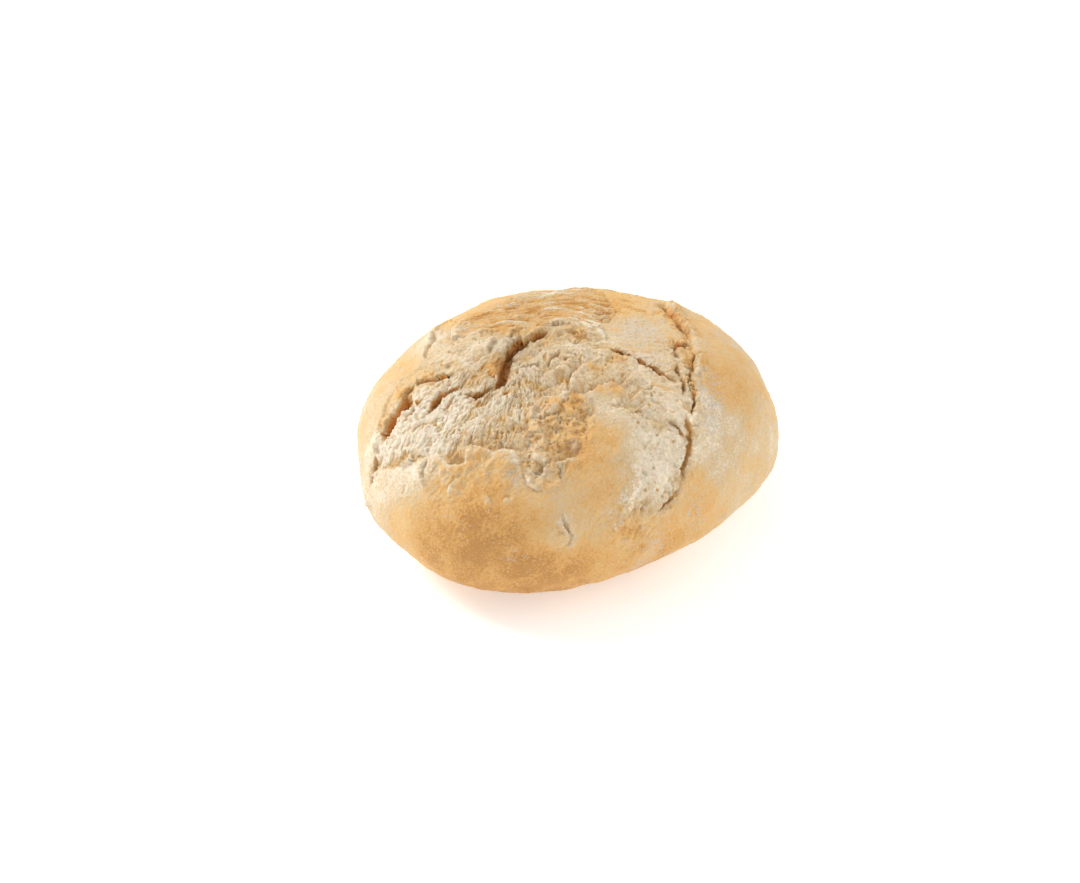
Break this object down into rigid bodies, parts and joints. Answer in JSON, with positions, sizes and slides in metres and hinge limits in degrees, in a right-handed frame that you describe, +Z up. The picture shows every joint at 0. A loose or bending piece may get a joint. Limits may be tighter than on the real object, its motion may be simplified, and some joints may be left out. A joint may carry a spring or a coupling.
{
  "type": "bread roll",
  "caption": "Oval rustic bread roll with a floured golden crust that burst open over pale crumb, standing on its own flat underside.",
  "frame": {"origin": "middle of the flat spot underneath, on the surface that the roll stands on", "axes": "+X along the roll's long axis, +Y across it, +Z up through the burst crown"},
  "size_m": [0.1149, 0.0967, 0.0536],
  "materials": {
    "crust": "matte"
  },
  "bodies": {
    "root": {"bread_roll": "crust"}
  },
  "joints": []
}
